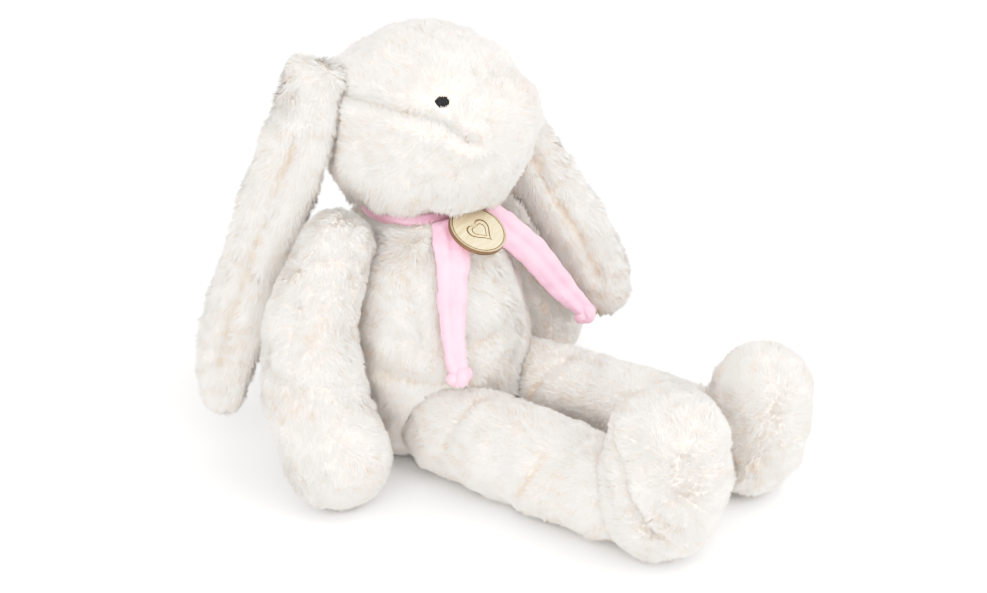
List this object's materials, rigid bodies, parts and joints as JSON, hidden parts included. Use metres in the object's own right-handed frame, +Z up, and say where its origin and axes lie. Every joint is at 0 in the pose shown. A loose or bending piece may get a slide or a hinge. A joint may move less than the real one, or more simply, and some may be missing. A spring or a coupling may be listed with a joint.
{
  "type": "stuffed bunny rabbit",
  "caption": "Seated long-eared plush rabbit with upright feet, a knotted fleece scarf and a round wooden tag; head, ears, arms, legs, feet, scarf tails and tag move.",
  "frame": {"origin": "middle of the flat seat, on the surface the rabbit sits on", "axes": "+Z up; the rabbit faces -Y, so its own right side is at -X and its left side at +X; Y is the long way, from the ear tips at the back to the feet in front"},
  "size_m": [0.2798, 0.3521, 0.2679],
  "materials": {
    "plush_fur": "short soft plush pile, off-white with warm roots",
    "stuffing": "polyester fibre fill",
    "pellet_cloth": "cotton pouch filled with plastic pellets",
    "eye_thread": "satin-stitched embroidery thread",
    "nose_thread": "satin-stitched embroidery thread",
    "scarf_fleece": "soft brushed fleece",
    "tag_wood": "bare birch plywood with laser-burnt lines and edge",
    "tag_thread": "twisted sewing thread"
  },
  "bodies": {
    "torso": {"torso_fur": "plush_fur", "torso_stuffing": "stuffing", "seat_pellet_bag": "pellet_cloth", "tail_fur": "plush_fur", "tail_stuffing": "stuffing", "scarf_loop": "scarf_fleece", "scarf_knot": "scarf_fleece"},
    "neck": {"neck_stuffing": "stuffing"},
    "head": {"head_fur": "plush_fur", "head_stuffing": "stuffing", "eye_right": "eye_thread", "eye_left": "eye_thread", "nose_stitching": "nose_thread"},
    "ear_right": {"ear_right_outer": "plush_fur", "ear_right_inner": "plush_fur"},
    "ear_left": {"ear_left_outer": "plush_fur", "ear_left_inner": "plush_fur"},
    "arm_right": {"arm_right_fur": "plush_fur", "arm_right_stuffing": "stuffing"},
    "arm_left": {"arm_left_fur": "plush_fur", "arm_left_stuffing": "stuffing"},
    "leg_right": {"leg_right_fur": "plush_fur", "leg_right_stuffing": "stuffing"},
    "leg_left": {"leg_left_fur": "plush_fur", "leg_left_stuffing": "stuffing"},
    "foot_right": {"foot_right_fur": "plush_fur", "foot_right_stuffing": "stuffing"},
    "foot_left": {"foot_left_fur": "plush_fur", "foot_left_stuffing": "stuffing"},
    "scarf_tail_right": {"scarf_tail_right": "scarf_fleece", "scarf_end_knot_right": "scarf_fleece"},
    "scarf_tail_left": {"scarf_tail_left": "scarf_fleece", "scarf_end_knot_left": "scarf_fleece"},
    "tag": {"wooden_tag": "tag_wood", "tag_thread": "tag_thread"}
  },
  "joints": [
    {"name": "head_turn", "type": "hinge", "parent": "torso", "child": "neck", "pos_m": [0, 0.006, 0.16], "axis": [0, 0, 1], "range_deg": [-5, 5]},
    {"name": "head_nod", "type": "hinge", "parent": "neck", "child": "head", "pos_m": [0, 0.006, 0.16], "axis": [1, 0, 0], "range_deg": [-8, 2]},
    {"name": "ear_right_lift", "type": "hinge", "parent": "head", "child": "ear_right", "pos_m": [-0.055, 0.036, 0.242], "axis": [0, 1, 0], "range_deg": [0, 110]},
    {"name": "ear_left_lift", "type": "hinge", "parent": "head", "child": "ear_left", "pos_m": [0.064, 0.019, 0.237], "axis": [0, -1, 0], "range_deg": [0, 110]},
    {"name": "arm_right_spread", "type": "hinge", "parent": "torso", "child": "arm_right", "pos_m": [-0.07, 0.014, 0.15], "axis": [0, 1, 0], "range_deg": [0, 60]},
    {"name": "arm_left_spread", "type": "hinge", "parent": "torso", "child": "arm_left", "pos_m": [0.07, 0.022, 0.15], "axis": [0, -1, 0], "range_deg": [0, 60]},
    {"name": "hip_right_swing", "type": "hinge", "parent": "torso", "child": "leg_right", "pos_m": [-0.039, -0.04, 0.029], "axis": [-1, 0, 0], "range_deg": [-50, 10]},
    {"name": "hip_left_swing", "type": "hinge", "parent": "torso", "child": "leg_left", "pos_m": [0.038, -0.04, 0.029], "axis": [-1, 0, 0], "range_deg": [-50, 10]},
    {"name": "ankle_right_flex", "type": "hinge", "parent": "leg_right", "child": "foot_right", "pos_m": [-0.047, -0.158, 0.029], "axis": [-1, 0, 0], "range_deg": [-30, 12]},
    {"name": "ankle_left_flex", "type": "hinge", "parent": "leg_left", "child": "foot_left", "pos_m": [0.04, -0.172, 0.029], "axis": [-1, 0, 0], "range_deg": [-30, 12]},
    {"name": "scarf_tail_right_lift", "type": "hinge", "parent": "torso", "child": "scarf_tail_right", "pos_m": [-0.0205, -0.0295, 0.1558], "axis": [-1, 0, 0], "range_deg": [0, 10]},
    {"name": "scarf_tail_left_lift", "type": "hinge", "parent": "torso", "child": "scarf_tail_left", "pos_m": [0.012, -0.036, 0.154], "axis": [-1, 0, 0], "range_deg": [0, 45]},
    {"name": "tag_lift", "type": "hinge", "parent": "torso", "child": "tag", "pos_m": [-0.013, -0.0345, 0.1602], "axis": [-1, 0, 0], "range_deg": [0, 15]}
  ]
}
